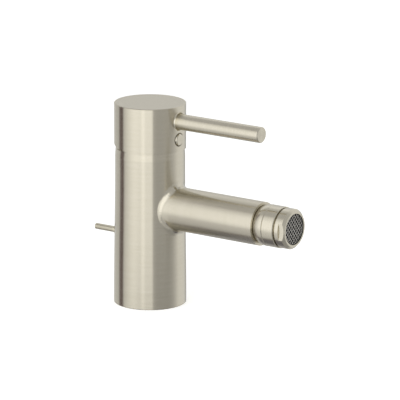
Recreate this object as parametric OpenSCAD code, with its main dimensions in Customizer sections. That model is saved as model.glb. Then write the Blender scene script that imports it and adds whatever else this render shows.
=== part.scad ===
// Single-lever bidet mixer with a swivelling outlet and a pull rod for the waste.
// The origin is on the deck, in the middle of the foot. The spout and the lever point along -Y,
// the pull rod points along +Y, and +Z is up. Every size is in millimetres.

/* [Body] */
// Diameter of the foot
base_d = 47.6; // [46.4:0.2:52]
// Diameter of the column under the neck ring
neck_d = 45.8; // [42:0.2:50]
// Height of the column, up to the seat of the neck ring
column_h = 98.4; // [97.4:0.2:112]
// Bevel round the foot
foot_bevel = 0.4; // [0.2:0.1:0.8]
// Depth of the chamber that holds the cartridge
chamber_depth = 24.4; // [24:0.2:26]

/* [Spout] */
// Height of the axis of the spout above the deck
spout_z = 66; // [58:0.5:68]
// Outer diameter of the spout
spout_d = 28.5; // [28:0.1:30]
// Distance from the axis of the column to the end of the spout
spout_reach = 89.9; // [82:0.1:110]
// Wall of the spout
spout_wall = 3; // [2.2:0.1:3.4]
// Radius of the fillet where the spout meets the column
spout_fillet = 5.2; // [1.2:0.1:6]
// Wall of the open mouth of the spout
mouth_wall = 1.8; // [1.4:0.1:1.8]
// Depth of the open mouth of the spout
mouth_depth = 7.7; // [6.8:0.1:8]
// Distance from the front of the foot to the start of the bore of the spout
spout_root_l = 6; // [4:0.5:8]
// Diameter of the water way that feeds the spout
mix_way_d = 9; // [6:0.5:10]

/* [Deck connections] */
// Thread diameter of the fixing hole
fixing_d = 8; // [6:1:8]
// Depth of the fixing hole
fixing_depth = 20; // [12:1:24]
// Distance of the fixing hole in front of the axis of the column
fixing_y = 11; // [10:0.5:12]
// Thread diameter of the two inlets
inlet_d = 10; // [8:1:10]
// Depth of the two inlets
inlet_depth = 16; // [12:1:20]
// Distance of each inlet from the middle
inlet_x = 8; // [7.5:0.25:9]
// Diameter of the water ways under the ports of the cartridge
feed_way_d = 5.4; // [4:0.1:6]
// Width of the foot seal
seal_w = 2; // [1.4:0.1:2.4]
// Height of the foot seal
seal_h = 1.6; // [1.2:0.1:2.2]
// Land between the foot seal and the outer edge of the foot
seal_land = 1.8; // [1.4:0.1:2.4]

/* [Neck ring] */
// Height of the straight foot of the neck ring
band_h = 0.8; // [0.4:0.1:2]
// Height of the tapered band above its foot
taper_h = 4.9; // [3.8:0.1:5]
// How far the tapered band draws in at its top
taper_in = 0.35; // [0.2:0.05:0.6]
// Radius of the shoulder at the top of the band
shoulder_r = 0.15; // [0.1:0.05:0.4]
// Height of the spherical lip above the shoulder
lip_h = 2.2; // [1.2:0.1:2.6]
// Height of the register that centres the neck ring
register_h = 2; // [1.2:0.1:2.6]
// Wall of the register
register_wall = 1.8; // [1.4:0.1:2]
// Width of the seat of the neck ring
ring_seat_w = 1.7; // [1.4:0.1:2]
// Wall of the spherical lip
lip_wall = 1.7; // [1.2:0.1:2]
// Clearance between the lip and the rim of the cap
lip_play = 0.6; // [0.4:0.1:0.8]

/* [Cartridge] */
// Outer diameter of the cartridge housing
cartridge_d = 35; // [33:0.5:35]
// Height of the cartridge base
cartridge_base_h = 6; // [5:0.5:6.5]
// Thickness of each ceramic disc
disc_h = 3.5; // [3:0.1:3.6]
// Diameter of the moving ceramic disc
moving_disc_d = 24.4; // [22:0.2:24.6]
// Height of the disc carrier
carrier_h = 3; // [2.6:0.1:3.4]
// Thickness of the disc carrier under the ball of the stem
carrier_floor = 0.4; // [0.3:0.1:0.7]
// Diameter of the hub of the stem holder
hub_d = 21.8; // [20:0.2:22]
// Height of the flange of the stem holder
flange_h = 1; // [0.8:0.1:1.2]
// Thickness of the top wall of the housing
housing_top = 3.5; // [3:0.1:4]
// Height of the tilt axis above the top of the housing
pivot_over = 2; // [1.6:0.1:2.4]
// Diameter of the ball at the foot of the stem
stem_ball_d = 4.2; // [4:0.1:4.8]
// Diameter of the tilt pin
pin_d = 4; // [3:0.1:4.4]
// Side of the square stem
stem_side = 8; // [7:0.1:8.6]
// Height of the cartridge nut
nut_h = 9.2; // [8.4:0.1:9.6]
// Wall of the cartridge nut
nut_wall = 2.4; // [2:0.1:2.6]
// Height of the temperature limit ring
limit_h = 2.2; // [1.6:0.1:2.6]
// Diameter of each port through the discs
port_d = 5; // [4:0.1:5.4]
// Distance of each port from the axis of the cartridge
port_r = 9; // [8.6:0.1:9.6]
// Width of the section of a port seal
port_seal_w = 1.4; // [1:0.1:1.6]
// Depth of the groove of a port seal
port_groove = 1.3; // [1:0.1:1.6]
// Angle that the lever lifts
lift_angle = 12; // [8:1:12]

/* [Cap] */
// Diameter of the cap
cap_d = 47; // [43:0.2:52]
// Height of the cap
cap_h = 30.1; // [28:0.1:36]
// Height of the lower edge of the cap above the top of the band
cap_gap = 0; // [0:0.1:0.4]
// Bevel round the top of the cap
cap_bevel = 0.4; // [0.2:0.1:0.8]
// Wall of the cap at its lower edge
rim_edge = 0.6; // [0.5:0.05:0.8]
// Wall of the cap at the top of its wide part, where the rim has grown thick
rim_wall = 1.6; // [1.4:0.05:1.7]
// Wall of the cap above its rim
cap_wall = 2.9; // [2.6:0.1:3.2]
// Height of the wide part of the hollow in the cap, up to its slope
rim_h = 3.8; // [3.7:0.05:4]
// Height of the hollow in the cap
hollow_h = 13.4; // [13:0.1:14]
// Diameter of the boss that takes the stem
boss_d = 17.2; // [16:0.2:18]
// Gap between the lower end of the boss and the stem holder
boss_gap = 5; // [4.5:0.1:6]
// Slope of the rear part of the lower edge, in degrees
rear_slope = 8.5; // [8:0.5:10]

/* [Lever] */
// Diameter of the lever
lever_d = 10.4; // [8:0.2:12]
// Distance from the axis of the column to the tip of the lever
lever_reach = 88.5; // [70:0.5:130]
// Height of the axis of the lever under the top of the cap
lever_drop = 10; // [8.5:0.1:10]
// Radius of the flare at the root of the lever
lever_flare = 0.9; // [0.4:0.1:1]
// Thickness of the foot of the lever
lever_foot = 0.3; // [0.2:0.1:0.6]
// Bevel at the tip of the lever
lever_bevel = 0.5; // [0.2:0.1:1]
// Thread diameter of the root of the lever
lever_thread_d = 6; // [4:1:7]
// Length of the thread of the root of the lever
lever_thread_l = 10; // [6:1:12]
// Height of the index plug under the top of the cap
plug_drop = 22; // [21.2:0.1:22]
// Diameter of the index plug
plug_d = 7.9; // [6:0.1:8.2]
// Length of the index plug
plug_l = 3.5; // [2.8:0.1:3.8]
// Radius of the rounded edge of the index plug
plug_round = 1; // [0.3:0.1:1]
// Gap round the face of the index plug
plug_gap = 0.6; // [0.3:0.05:0.6]
// Depth of the gap round the face of the index plug
plug_gap_depth = 1.8; // [1.2:0.1:2]
// How far the index plug stands proud of the cap
plug_proud = 0.7; // [0.2:0.1:0.8]
// Thread diameter of the grub screw
grub_d = 5; // [4:1:5]
// Length of the grub screw
grub_l = 5.2; // [4:0.1:6]

/* [Outlet] */
// Distance from the end of the spout to the centre of the swivel ball
ball_over = 6.1; // [5.9:0.1:6.6]
// Diameter of the swivel ball
ball_d = 19; // [18:0.1:19.2]
// Diameter of the neck behind the swivel ball
ball_neck_d = 10.4; // [9.6:0.1:10.4]
// Diameter of the water way through the swivel ball
ball_way_d = 7.2; // [6:0.1:7.4]
// Length of the thread that holds the swivel ball in the spout
ball_thread_l = 10; // [8:0.5:14]
// Thickness of the flange behind the swivel ball
ball_flange_t = 2.6; // [2:0.1:2.8]
// Width of the ball seal
ball_seal_w = 1.6; // [1.2:0.1:2]
// Thickness of the ball seal on the radius
ball_seal_t = 1.4; // [1:0.1:1.8]
// Thickness of the spherical liners
liner_t = 1.3; // [1:0.1:1.5]
// Outer diameter of the collar and the sleeve
collar_d = 27; // [26.6:0.1:27.4]
// Distance from the centre of the ball to the joint of the collar and the sleeve
collar_front = 1.6; // [1.2:0.1:2.2]
// Length of the sleeve
sleeve_l = 8.7; // [8.4:0.1:11]
// Length of the spigot that screws into the collar
spigot_l = 3.8; // [3:0.1:4]
// Width of the hairline joint of the collar and the sleeve
hairline_w = 0.4; // [0.2:0.1:0.5]
// Gap between the sleeve and the outlet nut
outlet_gap = 0.9; // [0.5:0.1:1.2]
// Outer diameter of the outlet nut
outlet_nut_d = 26.2; // [25.6:0.1:26.8]
// Length of the outlet nut
outlet_nut_l = 7.4; // [7.2:0.1:9]
// Length of the two spanner flats of the outlet nut
flat_l = 4.4; // [3:0.1:5]
// Size across the two spanner flats
flat_across = 23.8; // [23.6:0.1:25.2]
// Turn of the spanner flats below the level, in degrees
flat_turn = 0; // [0:1:90]
// Bevel round the front of the outlet nut
outlet_bevel = 1.7; // [0.8:0.1:1.7]
// Diameter of the opening of the outlet nut
opening_d = 20.4; // [18:0.1:20.6]
// Thickness of the front lip of the outlet nut
lip_t = 0.8; // [0.6:0.1:1]
// Diameter of the thread on the sleeve
nose_d = 22.8; // [22:0.1:23]
// Length of the thread on the sleeve
nose_l = 3.6; // [3:0.1:4]
// Thickness of the outlet screen
screen_t = 0.6; // [0.4:0.1:0.8]
// Distance between neighbouring wires of the screen
screen_pitch = 1.4; // [1.15:0.05:1.6]
// Width of a wire of the screen
screen_wire = 0.45; // [0.3:0.05:0.5]
// Thickness of the outlet washer
washer_t = 1; // [0.8:0.1:1.4]
// Depth of the seat of the washer and the insert in the sleeve
insert_sink = 1.4; // [1.2:0.1:1.8]
// Angle that the outlet swivels each way
swivel_angle = 12; // [6:1:12]

/* [Pull rod] */
// Diameter of the pull rod
rod_d = 4; // [3:0.1:4.2]
// Height of the level end of the pull rod
rod_z = 44.2; // [40:0.2:52]
// Distance from the axis of the column to the end of the pull rod
rod_reach = 44; // [38:0.5:60]
// Slant of the pull rod from the upright, in degrees
rod_slant = 20; // [18:1:22]
// Distance behind the axis where the slanted rod would meet the deck
rod_foot_y = 10.6; // [10.2:0.1:13.2]
// Radius of the bend of the pull rod
rod_bend = 5; // [4:0.5:6]
// Height of the lower end of the pull rod above the deck, along the slant
rod_start = 2; // [1:0.5:4]
// Outer diameter of the rod guide
guide_d = 6; // [5.6:0.1:6.4]
// Length of the rod guide
guide_l = 14; // [10:1:16]

/* [Hidden] */

$fn = 96;
// Smoothness of small round details
small_fn = 48;
// Length that the straight parts of the pull rod reach into its bend
lap = 0.3;
// Extra radius of the bend, which keeps the joints inside it
hair = 0.02;
// Clearance of a running fit, on the radius
run = 0.08;
// Clearance of a fixed fit, on the radius
snug = 0.03;
// Clearance round the cartridge, and between its discs and its wall
play = 0.3;
// Extra length of a cut past the face that it leaves
past = 1;

// Colours as the photograph shows them
nickel = "#CFC8B6";
nickel_dark = "#B4AB98";
brass = "#B99A5B";
steel = "#B9BBBC";
ceramic = "#E9E4D8";
nylon = "#D9D4C6";
rubber = "#2B2A28";

// Levels of the cartridge, from the floor of its chamber upward
neck_r = neck_d / 2;
base_r = base_d / 2;
seal_gap = 0.3;
pin_cover = 1.5;
pin_sink = 0.7;
skirt_h = 2;
step_drop = 1.3;
floor_z = column_h - chamber_depth;
cartridge_z = floor_z + seal_gap;
fixed_z = cartridge_z + cartridge_base_h;
moving_z = fixed_z + disc_h;
carrier_z = moving_z + disc_h;
holder_z = carrier_z + carrier_h + run;
ceiling_z = holder_z + flange_h + run;
housing_z = ceiling_z + housing_top;
pivot_z = housing_z + pivot_over;
holder_top = pivot_z + pin_d / 2 + pin_cover;
housing_step = ceiling_z - step_drop;
ball_z = carrier_z + carrier_floor + stem_ball_d / 2 + run;
stem_arm = pivot_z - ball_z;

// Radii of the cartridge and its nut
cartridge_r = cartridge_d / 2;
housing_wall = 2.2;
step_w = 1.6;
skirt_w = 1;
chamber_r = cartridge_r + play;
step_r = cartridge_r - step_w;
nut_in = step_r + snug * 3;
nut_r = nut_in + nut_wall;
thread_r = nut_r + snug * 3;
register_r = neck_r - ring_seat_w;
hub_r = hub_d / 2;
disc_stroke = stem_arm * lift_angle * PI / 180;
disc_room = moving_disc_d / 2 + disc_stroke + play;
flange_r = disc_room - 3 * play;
fixed_r = cartridge_r - housing_wall;

// Levels and radii of the neck ring and the cap
band_z = column_h + band_h;
ring_top = band_z + taper_h;
lip_z = ring_top + lip_h;
cap_z = ring_top + cap_gap;
cap_top = cap_z + cap_h;
cap_r = cap_d / 2;
rim_mouth_r = cap_r - rim_edge;
rim_in = cap_r - rim_wall;
cap_in = cap_r - cap_wall;
mouth_play = 0.35;
band_top_r = min(neck_r - taper_in, rim_mouth_r - mouth_play);
lip_r = min(band_top_r - shoulder_r, rim_in - lip_play);
lip_sphere = norm([lip_r, ring_top - pivot_z]);
hollow_z = cap_z + hollow_h;
boss_z = holder_top + boss_gap;
stem_top = hollow_z - 0.2;
lever_z = cap_top - lever_drop;
plug_z = cap_top - plug_drop;
seat_sink = 0.1;
lever_r = lever_d / 2;
foot_r = lever_r + lever_flare;
lever_seat = sqrt(pow(cap_r, 2) - pow(foot_r, 2)) - seat_sink;
plug_face = cap_r + plug_proud;

// Places along the spout, measured from the axis of the column
spout_r = spout_d / 2;
spout_bore = spout_r - spout_wall;
mouth_r = spout_r - mouth_wall;
bore_y = base_r + spout_root_l;
flange_y = spout_reach - mouth_depth;
ball_y = spout_reach + ball_over;
ball_r = ball_d / 2;
liner_in = ball_r + run;
liner_out = liner_in + liner_t;
socket_r = liner_out + run;
collar_r = collar_d / 2;
joint_y = ball_y + collar_front;
sleeve_end = joint_y + sleeve_l;
nut_y = sleeve_end + outlet_gap;
outlet_end = nut_y + outlet_nut_l;
nose_r = nose_d / 2;
opening_r = opening_d / 2;
nose_wall = 1.2;
ball_seal_land = 1;
insert_r = nose_r - nose_wall;
insert_y = sleeve_end - insert_sink;
lip_y = outlet_end - lip_t;
screen_y = lip_y - screen_t;

// Angles of the ball joint, measured at the ball's centre from its rear or front pole
swing = swivel_angle * sqrt(2);
liner_near = asin(ball_neck_d / 2 / liner_in) + swing + 2;
liner_far = 80;
rim_angle = asin(ball_neck_d / 2 / socket_r) + swing + 4;
collar_rear = socket_r * cos(rim_angle);

// Places on the pull rod: the slanted part and the level part meet in a bend
rod_r = rod_d / 2;
rod_meet_y = rod_foot_y + rod_z * tan(rod_slant);
bend_turn = 90 - rod_slant;
bend_run = rod_bend * tan(bend_turn / 2);
guide_r = guide_d / 2;
guide_exit = (base_r - rod_foot_y) / sin(rod_slant);
guide_start = guide_exit - guide_r / tan(rod_slant) - guide_l - past;
rod_length = rod_z / cos(rod_slant) - bend_run;

// Radius of the column at a height: a gentle flare from the neck to the foot
flare_land = 4;
flare_foot = 5;
flare_top = column_h - flare_land;
function flare(z) =
    let (t = max(0, min(1, (flare_top - z) / (flare_top - flare_foot))))
    t * t * (3 - 2 * t);
function column_r(z) = neck_r + (base_r - neck_r) * flare(z);

// Points of an arc about a centre, from one angle to another
function arc(cx, cy, r, from, to, steps) =
    [for (i = [0 : steps]) let (a = from + (to - from) * i / steps) [cx + r * cos(a), cy + r * sin(a)]];

// Lays a piece that is drawn upward along the axis of the spout
module along_spout(y = 0) {
    translate([0, -y, spout_z]) rotate([90, 0, 0]) children();
}

// Lays a piece that is drawn upward along the slant of the pull rod
module along_rod(s = 0) {
    translate([0, rod_foot_y, 0]) rotate([-rod_slant, 0, 0]) translate([0, 0, s]) children();
}

// Turns a piece that is drawn upward to the front at a height
module to_front(y, z) {
    translate([0, -y, z]) rotate([90, 0, 0]) children();
}

// Part of a spherical shell between two angles from its pole
module shell_zone(inner, outer, near, far) {
    rotate_extrude()
        polygon(concat(
            arc(0, 0, outer, 90 - near, 90 - far, 8),
            arc(0, 0, inner, 90 - far, 90 - near, 8)
        ));
}

// Column with its flare, as one turned profile
module column() {
    steps = 14;
    rotate_extrude()
        polygon(concat(
            [[0, 0], [base_r - foot_bevel, 0], [base_r, foot_bevel]],
            [for (i = [0 : steps])
                let (z = flare_foot + (flare_top - flare_foot) * i / steps) [column_r(z), z]],
            [[neck_r, column_h], [register_r, column_h], [register_r, column_h + register_h],
             [0, column_h + register_h]]
        ));
}

// Depth of the fillet's edges in the metal, and of its root
bite = 0.04;
root_sink = 1;

// Centre of a ball that rolls round the spout and touches both the spout and the column
function roll_centre(a, r) =
    let (x = (spout_r + r) * cos(a), z = (spout_r + r) * sin(a))
    [x, -sqrt(pow(column_r(spout_z + z) + r, 2) - x * x), spout_z + z];

// One section of the fillet at an angle round the spout: the hollow curve and a point in the metal
function fillet_section(a, r, sink, steps) =
    let (
        c = roll_centre(a, r - sink),
        to_spout = [-cos(a), 0, -sin(a)],
        to_column = -[c[0], c[1], 0] / norm([c[0], c[1]]),
        open = acos(to_spout * to_column),
        deep = spout_r - root_sink,
        x = deep * cos(a)
    )
    concat(
        [for (i = [0 : steps]) let (t = i / steps)
            c + r * (sin((1 - t) * open) * to_spout + sin(t * open) * to_column) / sin(open)],
        [[x, -sqrt(pow(column_r(c[2]) - root_sink, 2) - x * x), spout_z + deep * sin(a)]]
    );

// Fillet between the spout and the column, rolled round the joint
module spout_root() {
    turns = 60;
    steps = 7;
    count = steps + 2;
    points = [for (k = [0 : turns - 1]) each fillet_section(360 * k / turns, spout_fillet, bite, steps)];
    faces = [for (k = [0 : turns - 1]) for (i = [0 : count - 1])
        let (a = k * count + i, b = k * count + (i + 1) % count,
             c = ((k + 1) % turns) * count + (i + 1) % count, d = ((k + 1) % turns) * count + i)
        each [[a, b, c], [a, c, d]]];
    polyhedron(points, faces, convexity = 6);
}

// Body: column and spout in one casting, with the chamber, the water ways and the threads
module mixer_body() {
    mix_y = port_r - mix_way_d / 2;
    color(nickel) difference() {
        union() {
            column();
            along_spout() cylinder(h = spout_reach, r = spout_r);
            spout_root();
        }
        translate([0, 0, floor_z]) cylinder(h = chamber_depth + register_h + past, r = chamber_r);
        translate([0, 0, housing_step - seal_gap]) cylinder(h = chamber_depth, r = thread_r);
        translate([0, 0, column_h]) cylinder(h = register_h + past, r = register_r - register_wall);
        along_spout(bore_y) cylinder(h = spout_reach, r = spout_bore);
        along_spout(flange_y) cylinder(h = mouth_depth + past, r = mouth_r);
        along_spout(mix_y) cylinder(h = bore_y - mix_y + past, d = mix_way_d);
        translate([0, -port_r, spout_z]) cylinder(h = floor_z - spout_z + past, d = feed_way_d);
        for (side = [-1, 1]) {
            translate([side * inlet_x, 0, -past]) cylinder(h = inlet_depth + past, d = inlet_d);
            translate([side * inlet_x, 0, -past]) cylinder(h = floor_z + 2 * past, d = feed_way_d);
        }
        translate([0, -fixing_y, -past]) cylinder(h = fixing_depth + past, d = fixing_d);
        translate([0, 0, -past]) seal_band(seal_h + past);
        along_rod(-guide_r - past) cylinder(h = guide_exit + base_r, r = guide_r);
    }
}

// Ring that the foot seal and its groove share
module seal_band(h, play = 0) {
    outer = base_r - seal_land;
    difference() {
        cylinder(h = h, r = outer - play);
        translate([0, 0, -1]) cylinder(h = h + 2, r = outer - seal_w + play);
    }
}

// Rubber seal between the foot and the deck
module base_seal() {
    color(rubber) seal_band(seal_h, snug);
}

// Ring between the column and the cap, with a tapered band and a lip that follows the tilt
module neck_ring() {
    inner = register_r + snug;
    step_z = column_h + register_h + seal_gap;
    from = acos((ring_top - pivot_z) / lip_sphere);
    to = acos((lip_z - pivot_z) / lip_sphere);
    color(nickel) rotate_extrude()
        polygon(concat(
            [[inner, column_h], [neck_r, column_h], [neck_r, band_z]],
            arc(band_top_r - shoulder_r, ring_top - shoulder_r, shoulder_r, 0, 90, 6),
            arc(0, pivot_z, lip_sphere, 90 - from, 90 - to, 4),
            [[lip_r - lip_wall, lip_z], [lip_r - lip_wall, step_z], [inner, step_z]]
        ));
}

// Places of the three ports: two inlets at the sides and the outlet at the front
module at_ports() {
    for (a = [0, 180, 270]) rotate([0, 0, a]) translate([a == 270 ? port_r : inlet_x, 0, 0]) children();
}

// Lower part of the cartridge, with the grooves of the port seals
module cartridge_base() {
    color(nylon) difference() {
        union() {
            translate([0, 0, cartridge_z]) cylinder(h = cartridge_base_h - skirt_h, r = cartridge_r);
            translate([0, 0, cartridge_z]) cylinder(h = cartridge_base_h, r = cartridge_r - skirt_w);
        }
        at_ports() translate([0, 0, cartridge_z - 1]) cylinder(h = cartridge_base_h + 2, d = port_d);
        at_ports() translate([0, 0, cartridge_z - 1])
            cylinder(h = port_groove + 1, r = port_d / 2 + port_seal_w + snug);
    }
}

// Three rubber seals between the cartridge and the floor of the chamber
module port_seals() {
    color(rubber) at_ports() translate([0, 0, floor_z]) difference() {
        cylinder(h = port_groove + seal_gap, r = port_d / 2 + port_seal_w, $fn = small_fn);
        translate([0, 0, -1]) cylinder(h = port_groove + 2, d = port_d, $fn = small_fn);
    }
}

// Upper part of the cartridge, which holds the discs and guides the stem holder
module cartridge_housing() {
    skirt_z = fixed_z - skirt_h;
    height = housing_z - skirt_z;
    color(nylon) difference() {
        union() {
            translate([0, 0, skirt_z]) cylinder(h = housing_step - skirt_z, r = cartridge_r);
            translate([0, 0, skirt_z]) cylinder(h = height, r = step_r);
        }
        translate([0, 0, skirt_z - past]) cylinder(h = skirt_h + past, r = cartridge_r - skirt_w + snug);
        translate([0, 0, skirt_z]) cylinder(h = moving_z - skirt_z, r = fixed_r + snug);
        translate([0, 0, skirt_z]) cylinder(h = ceiling_z - skirt_z, r = disc_room);
        translate([0, 0, skirt_z]) cylinder(h = height + past, r = hub_r + run);
    }
}

// Ceramic disc that stays, with three ports
module fixed_ceramic_disc() {
    color(ceramic) translate([0, 0, fixed_z]) difference() {
        cylinder(h = disc_h, r = fixed_r);
        at_ports() translate([0, 0, -1]) cylinder(h = disc_h + 2, d = port_d);
    }
}

// Ceramic disc that slides and turns, with the mixing pocket in its lower face
module moving_ceramic_disc() {
    color(ceramic) translate([0, 0, moving_z]) difference() {
        cylinder(h = disc_h, d = moving_disc_d);
        translate([0, -disc_stroke, -1]) cylinder(h = disc_h * 0.5 + 1, d = moving_disc_d - 11);
    }
}

// Carrier that links the foot of the stem to the moving disc
module disc_carrier() {
    color(nylon) translate([0, 0, carrier_z]) difference() {
        cylinder(h = carrier_h, d = moving_disc_d);
        translate([0, 0, carrier_floor]) cylinder(h = carrier_h, d = stem_ball_d + 2 * run);
    }
}

// Part that turns with the handle and carries the tilt pin
module stem_holder() {
    slot = stem_side + 2 * run;
    swing = stem_side + 2 * (holder_top - pivot_z + 2) * sin(lift_angle);
    color(nylon) difference() {
        union() {
            translate([0, 0, holder_z]) cylinder(h = flange_h, r = flange_r);
            translate([0, 0, holder_z]) cylinder(h = holder_top - holder_z, r = hub_r);
        }
        translate([-slot / 2, -swing / 2, holder_z - 1]) cube([slot, swing, holder_top]);
        translate([-hub_r - past, 0, pivot_z]) rotate([0, 90, 0])
            cylinder(h = 2 * (hub_r + past), d = pin_d + 2 * snug);
    }
}

// Pin that the stem tilts on
module tilt_pin() {
    length = 2 * (hub_r - pin_sink);
    color(steel) translate([-length / 2, 0, pivot_z]) rotate([0, 90, 0]) cylinder(h = length, d = pin_d);
}

// Stem: a square bar above the pin and a round arm with a ball below it
module stem() {
    boss = stem_side * 0.5;
    color(brass) difference() {
        union() {
            translate([-stem_side / 2, -stem_side / 2, pivot_z])
                cube([stem_side, stem_side, stem_top - pivot_z]);
            translate([-stem_side / 2, 0, pivot_z]) rotate([0, 90, 0]) cylinder(h = stem_side, r = boss);
            translate([0, 0, ball_z]) cylinder(h = stem_arm, d = stem_ball_d * 0.75);
            translate([0, 0, ball_z]) sphere(d = stem_ball_d, $fn = small_fn);
        }
        translate([-stem_side, 0, pivot_z]) rotate([0, 90, 0])
            cylinder(h = 2 * stem_side, d = pin_d + 2 * run);
    }
}

// Nut that clamps the cartridge, with six spanner notches
module cartridge_nut() {
    color(brass) difference() {
        translate([0, 0, housing_step]) cylinder(h = nut_h, r = nut_r);
        translate([0, 0, housing_step - 1]) cylinder(h = nut_h + 2, r = nut_in);
        for (a = [0 : 60 : 300]) rotate([0, 0, a])
            translate([nut_in - 1, -2, housing_step + nut_h - 2]) cube([nut_wall + 2, 4, 3]);
    }
}

// Splined ring that limits how far the handle turns
module temperature_limit_ring() {
    inner = hub_r + 0.3;
    outer = step_r - 1.2;
    color("#C4473A") translate([0, 0, housing_z]) difference() {
        cylinder(h = limit_h, r = outer);
        translate([0, 0, -1]) cylinder(h = limit_h + 2, r = inner);
        for (a = [0 : 15 : 345]) rotate([0, 0, a]) translate([outer - 0.7, -0.5, 0.8]) cube([2, 1, limit_h]);
    }
}

// Solid that the lower edge of the cap leaves free: level in front and sloping up behind
module cap_relief() {
    wide = cap_r + 4;
    translate([-wide, 0, cap_z]) rotate([rear_slope, 0, 0])
        translate([0, 0, -8]) cube([2 * wide, wide * 2, 8]);
}

// Cap of the handle, with the boss for the stem and the seats of the lever and the index plug
module handle_cap() {
    hole = stem_side / 2 + 0.1;
    color(nickel) difference() {
        union() {
            difference() {
                translate([0, 0, cap_z]) rotate_extrude()
                    polygon([[0, 0], [cap_r, 0], [cap_r, cap_h - cap_bevel],
                             [cap_r - cap_bevel, cap_h], [0, cap_h]]);
                translate([0, 0, cap_z]) rotate_extrude()
                    polygon([[0, -past], [rim_mouth_r, -past], [rim_mouth_r, 0], [rim_in, rim_h],
                             [cap_in, rim_h + rim_in - cap_in], [cap_in, hollow_h], [0, hollow_h]]);
                cap_relief();
            }
            translate([0, 0, boss_z]) cylinder(h = hollow_z - boss_z + 1, d = boss_d);
        }
        translate([-hole, -hole, boss_z - 1]) cube([2 * hole, 2 * hole, hollow_z - boss_z + 1]);
        to_front(0, plug_z) cylinder(h = boss_d, d = grub_d + 2 * snug);
        to_front(cap_in - past, plug_z) cylinder(h = cap_r, d = plug_d + 2 * snug);
        to_front(cap_r - plug_gap_depth, plug_z) cylinder(h = cap_r, r = plug_d / 2 + plug_gap);
        to_front(lever_seat, lever_z) cylinder(h = cap_r, r = foot_r + snug);
        to_front(lever_seat - lever_thread_l - play, lever_z)
            cylinder(h = lever_thread_l + past, d = lever_thread_d + 2 * snug);
    }
}

// Lever: a round bar with a flared foot, a threaded root and a bevelled tip
module lever() {
    length = lever_reach - lever_seat;
    root = lever_thread_d / 2;
    color(nickel) to_front(lever_seat, lever_z) rotate_extrude()
        polygon(concat(
            [[0, -lever_thread_l], [root - 0.4, -lever_thread_l], [root, 0.4 - lever_thread_l], [root, 0],
             [foot_r, 0]],
            arc(foot_r, lever_foot + lever_flare, lever_flare, -90, -180, 6),
            [[lever_r, length - lever_bevel], [lever_r - lever_bevel, length], [0, length]]
        ));
}

// Screw that clamps the stem in the boss, with a hexagon socket
module grub_screw() {
    start = stem_side / 2;
    color(steel) difference() {
        to_front(start, plug_z) cylinder(h = grub_l, d = grub_d, $fn = small_fn);
        to_front(start + grub_l - 2, plug_z) cylinder(h = 3, d = grub_d * 0.55, $fn = 6);
    }
}

// Plug that covers the screw hole, with a rounded edge
module index_plug() {
    r = plug_d / 2;
    color(nickel) to_front(plug_face - plug_l, plug_z) rotate_extrude()
        polygon(concat(
            [[0, 0], [r, 0]],
            arc(r - plug_round, plug_l - plug_round, plug_round, 0, 90, 6),
            [[0, plug_l]]
        ));
}

// Threaded end of the spout with the ball that the outlet swivels on
module swivel_ball() {
    start = flange_y - ball_thread_l;
    funnel = ball_way_d / 2 + 4;
    color(brass) difference() {
        union() {
            along_spout(start) cylinder(h = ball_thread_l, r = spout_bore - snug);
            along_spout(flange_y) cylinder(h = ball_flange_t, r = mouth_r - snug);
            along_spout(flange_y) cylinder(h = ball_y - flange_y, d = ball_neck_d);
            along_spout(ball_y) sphere(r = ball_r);
        }
        along_spout(start - past) cylinder(h = ball_y, d = ball_way_d);
        along_spout(ball_y + ball_r * 0.7) cylinder(h = ball_r, r = ball_r);
        along_spout(start - past) cylinder(h = ball_thread_l - 2, r1 = funnel, r2 = ball_way_d / 2);
        seal_ring(run, spout_bore);
    }
}

// Ring that the ball seal and its groove share, just behind the flange
module seal_ring(gap, outer) {
    along_spout(flange_y - ball_seal_land - ball_seal_w - gap) difference() {
        cylinder(h = ball_seal_w + 2 * gap, r = outer);
        translate([0, 0, -past])
            cylinder(h = ball_seal_w + 2 * gap + 2 * past, r = spout_bore - ball_seal_t - gap);
    }
}

// Rubber ring that seals the threaded end in the spout
module ball_seal() {
    color(rubber) seal_ring(0, spout_bore - snug);
}

// Liner in front of the ball
module front_liner() {
    color(nylon) along_spout(ball_y) shell_zone(liner_in, liner_out, liner_near, liner_far);
}

// Liner behind the ball
module rear_liner() {
    color(nylon) along_spout(ball_y) mirror([0, 0, 1]) shell_zone(liner_in, liner_out, liner_near, liner_far);
}

// Rear part of the outlet shell: a ball on the outside, so that it swivels in the mouth of the spout
module swivel_collar() {
    spigot_r = (collar_r + socket_r) / 2;
    color(nickel) along_spout(ball_y) difference() {
        rotate_extrude()
            polygon(concat(
                [[0, -collar_rear]],
                arc(0, 0, collar_r, -asin(collar_rear / collar_r), 0, 14),
                [[collar_r, collar_front - hairline_w], [collar_r - hairline_w, collar_front],
                 [0, collar_front]]
            ));
        sphere(r = socket_r);
        translate([0, 0, collar_front - spigot_l]) cylinder(h = spigot_l + 1, r = spigot_r + snug);
    }
}

// Front part of the outlet shell, with the spigot behind and the thread in front
module swivel_sleeve() {
    spigot_r = (collar_r + socket_r) / 2;
    color(nickel) along_spout(ball_y) difference() {
        union() {
            translate([0, 0, collar_front - spigot_l]) cylinder(h = spigot_l + 1, r = spigot_r);
            translate([0, 0, collar_front]) rotate_extrude()
                polygon([[0, 0], [collar_r - hairline_w, 0], [collar_r, hairline_w],
                         [collar_r, sleeve_l - hairline_w], [collar_r - hairline_w, sleeve_l],
                         [nose_r, sleeve_l], [nose_r, sleeve_l + nose_l], [0, sleeve_l + nose_l]]);
        }
        sphere(r = socket_r);
        cylinder(h = outlet_end - ball_y, r = socket_r * sin(liner_near));
        translate([0, 0, insert_y - ball_y]) cylinder(h = outlet_end - insert_y, r = insert_r + snug);
    }
}

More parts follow.
